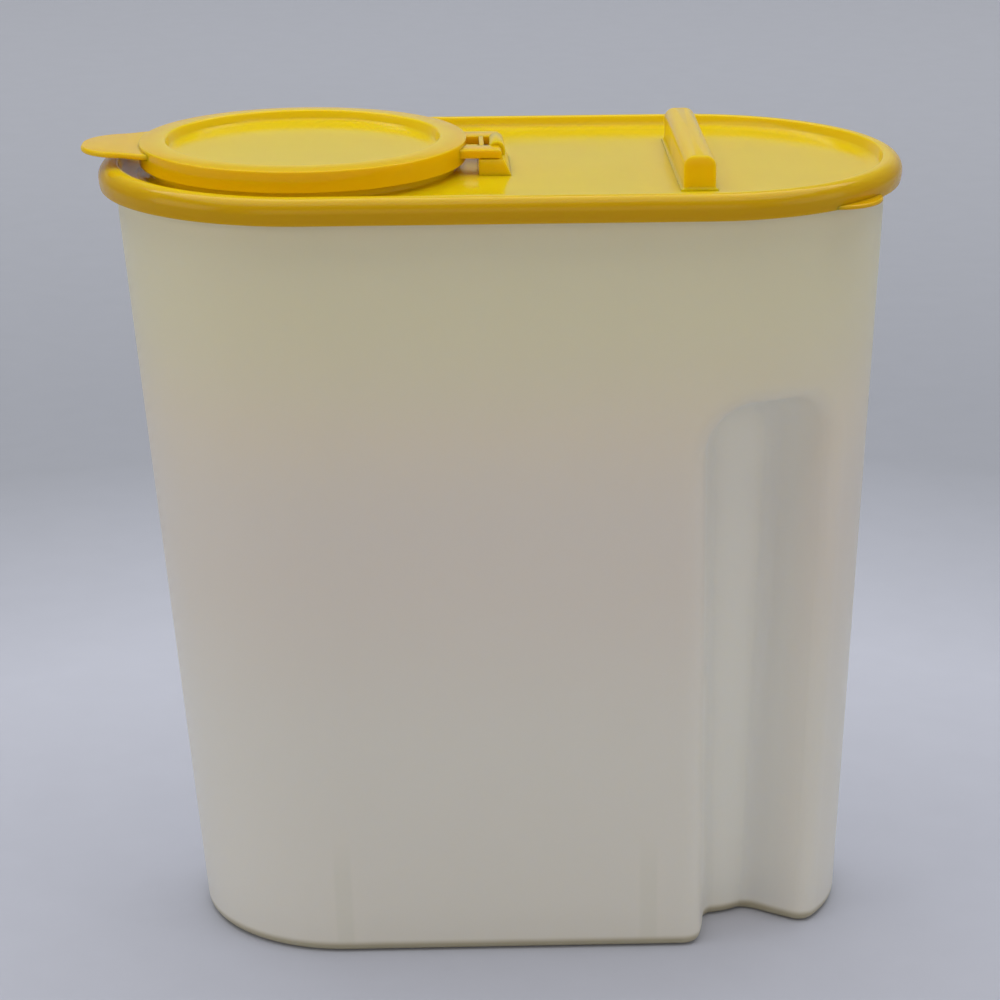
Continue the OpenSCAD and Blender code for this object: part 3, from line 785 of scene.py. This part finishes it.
def milky_finish(milk, milk_mid, milk_top_painted_glow, milk_painted_recess_light):
    """Satin milky polypropylene: light passes through it. It is darker at the ribs. Painted light makes it warmer
    up towards the yellow lid and paler in the drawn recess, and painted shade darkens a band along the bottom edge."""
    finish = Finish("keeper_milky_plastic", Roughness=0.34, IOR=1.49, Subsurface_Weight=1.0,
                    Subsurface_Radius=(1.0, 0.95, 0.85), Subsurface_Scale=0.002)
    cloud = finish.noise(9.0, 4.0)
    colour = finish.blend(finish.height(0.06, 0.13), opaque(milk), opaque(milk_mid))
    # Painted light: the yellow glow of the lid through the plastic, which also lifts the shade under the lid's
    # overhang.
    colour = finish.blend(finish.height(0.135, 0.21), colour, opaque(milk_top_painted_glow))
    colour = finish.blend(finish.spread(cloud, 0.35, 0.65, 0, 0.04), colour, opaque(shade(milk, 0.8, 0.8, 0.7)))
    # Painted light: paler by the recess's depth, lifting the shade that falls in it.
    recess_light_share = finish.node("ShaderNodeAttribute", attribute_name="painted_recess_light").outputs["Fac"]
    colour = finish.blend(finish.spread(recess_light_share, 0.0, 0.6, 0, 0.6), colour, opaque(milk_painted_recess_light))
    thick = finish.node("ShaderNodeAttribute", attribute_name="thickened").outputs["Fac"]
    colour = finish.blend(thick, colour, opaque(shade(milk, 0.95, 0.96, 0.95)))
    # Painted shade: a darker band along the bottom edge, where it turns under to meet the floor.
    colour = finish.blend(finish.height(0.0042, 0.0020), colour, opaque(shade(milk, 0.60, 0.57, 0.45)))
    scuffs = finish.noise(60.0, 6.0, (1, 1, 0.35), 0.65)
    finish.feed(Base_Color=colour, Roughness=finish.spread(scuffs, 0.4, 0.75, 0.30, 0.48))
    finish.bump(finish.noise(1400.0, 2.0), 0.06, 0.0001)
    return finish.material


def yellow_finish(name, yellow, deep, roughness, glow, oval):
    """Glossy yellow polyethylene with faint clouding, fine grain and a few dull scuffs. It deepens
    outwards with painted shade on its sides; the oval is its middle on X, half its straight, and two radii."""
    finish = Finish(name, Roughness=roughness, IOR=1.5, Specular_IOR_Level=0.22, Subsurface_Weight=glow,
                    Subsurface_Radius=(1.0, 0.85, 0.1), Subsurface_Scale=0.003)
    cloud = finish.noise(14.0, 4.0)
    dull = opaque(shade(yellow, 0.96, 0.95, 0.9))
    colour = finish.blend(finish.spread(cloud, 0.35, 0.65, 0, 1), dull, opaque(yellow))
    # Painted shade: outwards over the oval the colour turns to the deep yellow, darker and more orange, as shaded
    # sides look.
    colour = finish.blend(finish.outward(*oval), colour, opaque(deep))
    scuffs = finish.noise(70.0, 7.0, (1, 1, 1), 0.7)
    finish.feed(Base_Color=colour, Roughness=finish.spread(scuffs, 0.5, 0.8, roughness, roughness + 0.08))
    finish.bump(finish.noise(38.0, 2.0), 0.10, 0.0004)
    return finish.material


def paper_finish(paper, ring, sweep):
    """Matt backdrop paper with a faint fibre, lightest round the keeper in a painted pool of light that falls off to
    darker floor further out.
    """
    finish = Finish("keeper_paper", Roughness=0.9, Specular_IOR_Level=0.1)
    fibre = finish.noise(55.0, 6.0)
    away = finish.node("ShaderNodeVectorMath", operation="LENGTH")
    finish.link(finish.place, away.inputs[0])
    away = away.outputs["Value"]
    # Painted light: a pool of light round the keeper, fading to the darker ring colour.
    colour = finish.blend(finish.spread(away, 0.26, 0.50, 0, 1), opaque(paper), opaque(ring))
    colour = finish.blend(finish.spread(away, 0.6, 3.0, 0, 1), colour, opaque(sweep))
    colour = finish.blend(finish.spread(fibre, 0.3, 0.7, 0.0, 0.02), colour, opaque((0, 0, 0)))
    finish.feed(Base_Color=colour)
    finish.bump(fibre, 0.03, 0.0002)
    return finish.material


# ---------------------------------------------------------------- operators

class KeeperBodyBuild(bpy.types.Operator):
    """Build the milky body with its grip recesses"""
    bl_idname = "object.keeper_body_build"
    bl_label = "Build body"

    def execute(self, context):
        settings = context.scene.keeper_body
        wall = OvalWall(settings)
        rows = body_rows(wall, settings)
        rings, ribs, recess_light_share = wall.rings(rows)
        faces = grid_faces(*rings.shape[:2]).tolist() + mirror_caps(*rings.shape[:2])
        milk = milky_finish(settings.milk, settings.milk_mid, settings.milk_top_painted_glow, settings.milk_painted_recess_light)
        shell = add_mesh("body_shell", rings, faces, milk, sharp=40)
        for mark, values in (("thickened", ribs), ("painted_recess_light", recess_light_share)):
            shell.data.attributes.new(mark, "FLOAT", "POINT").data.foreach_set("value", values.ravel())
        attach(shell, "body")
        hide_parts("body")
        return {"FINISHED"}


class KeeperLidBuild(bpy.types.Operator):
    """Build the lid: skirt, rim, panel, collar, rest bar, hinge clip and pull tab"""
    bl_idname = "object.keeper_lid_build"
    bl_label = "Build lid"

    def execute(self, context):
        settings, cap = context.scene.keeper_lid, context.scene.keeper_cap
        size = LidSizes(settings)
        panel, top = size.panel_top, CAP_HIGH[2]
        border = top - (cap.fall + cap.wall) / MM
        left = HINGE_X - PLINTH_LEFT
        moulding = joined([
            lid_skin(size, -cap.reach / MM, border - size.GAP),
            rest_bar(size, top=LID_HIGH[2], **REST_BAR),
            soft_block((left, left + PLINTH_LENGTH), (-HINGE_HALF, HINGE_HALF),
                       (panel - PLINTH_SINK, HINGE_Z - PLINTH_DROP), 0.3, slope=PLINTH_LEAN),
            hinge_clip(HINGE_X, HINGE_Z, **CLIP),
            pull_tab(size, **PULL_TAB)])
        oval = (0.0, size.half * MM, (size.inner_in + 1.2) * MM, (size.radius - 0.6) * MM)
        yellow = yellow_finish("keeper_lid_yellow", settings.yellow, settings.deep, 0.15, 0.7, oval)
        lid = add_mesh("lid_moulding", *moulding, yellow)
        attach(lid, "lid")
        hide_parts("lid")
        return {"FINISHED"}


class KeeperCapBuild(bpy.types.Operator):
    """Build the flip cap: dish, border, sealing ring, thumb tab and hinge arms"""
    bl_idname = "object.keeper_cap_build"
    bl_label = "Build cap"

    def execute(self, context):
        settings = context.scene.keeper_cap
        wall, centre, radius = settings.wall / MM, -settings.reach / MM, CAP_HIGH[1]
        bite, cross, dish = radius - wall / 2, HINGE_X - CLIP["radius"] - 1.4, settings.dish_radius / MM
        moulding = joined([
            cap_skin(wall, dish, settings.dish_depth / MM, settings.fall / MM, centre, radius, SEAL_RADIUS),
            thumb_tab(centre, bite, centre - CAP_LOW[0], low=CAP_HIGH[2] - THUMB_DROP, **THUMB),
            hinge_arm(centre, bite, (ARM_INNER, HINGE_HALF), ARM_RADIUS),
            hinge_arm(centre, bite, (-HINGE_HALF, -ARM_INNER), ARM_RADIUS),
            soft_block((cross - CROSS_BAR, cross), (-PIN_HALF, PIN_HALF),
                       (HINGE_Z - ARM_RADIUS, HINGE_Z + ARM_RADIUS), 0.25),
            hinge_pin(PIN_RADIUS, PIN_HALF)])
        oval = (centre * MM, 0.0, (dish + 1.0) * MM, (radius - 1.0) * MM)
        yellow = yellow_finish("keeper_cap_yellow", settings.yellow, settings.deep, 0.15, 0.7, oval)
        cap = add_mesh("cap_moulding", *moulding, yellow)
        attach(cap, "cap")
        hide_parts("cap")
        return {"FINISHED"}


def backdrop_skin():
    """A seamless sheet: a flat floor that turns up through an arc into a wall, swept along X."""
    profile = section(np.stack([np.linspace(-2600, 2400, 26), np.zeros(26)], -1),
                      arc(2400, 700, 700, -90, 0, 16)[1:], [[3100, 1000], [3100, 1300]])
    x = np.linspace(-3200, 3200, 17)
    points = np.stack(np.broadcast_arrays(x[None], profile[:, :1], profile[:, 1:]), -1)
    faces = grid_faces(len(profile), len(x)).reshape(-1, len(x), 4)[:, :-1].reshape(-1, 4)
    return points, faces.tolist()


def soft_lamp(name, place, target, size, power, tint=(1, 1, 1)):
    """A square soft light at a place in metres, turned to a target."""
    lamp = bpy.data.lights.new(name, "AREA")
    lamp.shape, lamp.size, lamp.size_y, lamp.energy, lamp.color = "RECTANGLE", *size, power, tint
    holder = bpy.data.objects.new(name, lamp)
    holder.location = place
    holder.rotation_euler = (Vector(target) - Vector(place)).to_track_quat("-Z", "Y").to_euler()
    bpy.context.scene.collection.objects.link(holder)
    return holder


class KeeperStageBuild(bpy.types.Operator):
    """Set up the floor, the soft light and the camera"""
    bl_idname = "object.keeper_stage_build"
    bl_label = "Build stage"

    def execute(self, context):
        scene, settings = context.scene, context.scene.keeper_stage
        paper = paper_finish(settings.paper, settings.ring, settings.sweep)
        backdrop = add_mesh("backdrop", *backdrop_skin(), paper)
        soft_lamp("key_above", (0.0, 0.2, 1.9), (0.0, 0.0, 0.1), (3.0, 2.4), 33.0)
        soft_lamp("fill_front", (-0.1, -2.2, 0.75), (0.0, 0.0, 0.12), (2.4, 1.2), 6.2, (1.0, 0.93, 0.88))
        soft_lamp("fill_left", (-1.8, -0.6, 0.7), (0.0, 0.0, 0.12), (1.4, 1.0), 5.2, (1.0, 0.97, 0.92))
        soft_lamp("fill_right", (1.7, -0.8, 0.7), (0.0, 0.0, 0.12), (1.4, 1.0), 3.6, (1.0, 0.97, 0.92))
        soft_lamp("wash_behind", (0.0, 1.3, 2.0), (0.0, 2.6, 0.4), (3.0, 0.8), 15.5)
        world = bpy.data.worlds.new("keeper_world")
        world.use_nodes = True
        background = world.node_tree.nodes["Background"]
        background.inputs["Color"].default_value = (0.66, 0.64, 0.61, 1)
        background.inputs["Strength"].default_value = 0.3
        scene.world = world
        camera = bpy.data.objects.new("keeper_camera", bpy.data.cameras.new("keeper_camera"))
        camera.data.lens, camera.data.sensor_width, camera.data.clip_end = settings.lens, 36.0, 20.0
        turn = Matrix.Rotation(CAMERA_TURN, 4, "Z") @ Matrix.Rotation(CAMERA_TILT, 4, "X")
        camera.matrix_world = (Matrix.Translation(Vector(CAMERA_PLACE) * MM)
                               @ turn @ Matrix.Rotation(CAMERA_ROLL, 4, "Z"))
        scene.collection.objects.link(camera)
        scene.camera = camera
        scene.view_settings.view_transform = "Standard"
        return {"FINISHED"}


class KeeperPanel(bpy.types.Panel):
    """Sizes, colours and build buttons of the keeper"""
    bl_idname = "VIEW3D_PT_keeper"
    bl_label = "Cereal keeper"
    bl_space_type = "VIEW_3D"
    bl_region_type = "UI"
    bl_category = "Keeper"

    def draw(self, context):
        for settings, operator in GROUPS:
            box = self.layout.box()
            group = getattr(context.scene, settings)
            for name in group.__annotations__:
                box.prop(group, name)
            box.operator(operator)


GROUPS = (("keeper_body", "object.keeper_body_build"), ("keeper_lid", "object.keeper_lid_build"),
          ("keeper_cap", "object.keeper_cap_build"), ("keeper_stage", "object.keeper_stage_build"))
SETTINGS = (KeeperBodySettings, KeeperLidSettings, KeeperCapSettings, KeeperStageSettings)
CLASSES = SETTINGS + (KeeperBodyBuild, KeeperLidBuild, KeeperCapBuild, KeeperStageBuild, KeeperPanel)


def register():
    for one in CLASSES:
        bpy.utils.register_class(one)
    for (name, _), settings in zip(GROUPS, SETTINGS):
        setattr(bpy.types.Scene, name, PointerProperty(type=settings))


def unregister():
    for name, _ in GROUPS:
        delattr(bpy.types.Scene, name)
    for one in reversed(CLASSES):
        bpy.utils.unregister_class(one)


def main():
    register()
    bpy.ops.object.keeper_body_build()
    bpy.ops.object.keeper_lid_build()
    bpy.ops.object.keeper_cap_build()
    bpy.ops.object.keeper_stage_build()


if __name__ == "__main__":
    main()
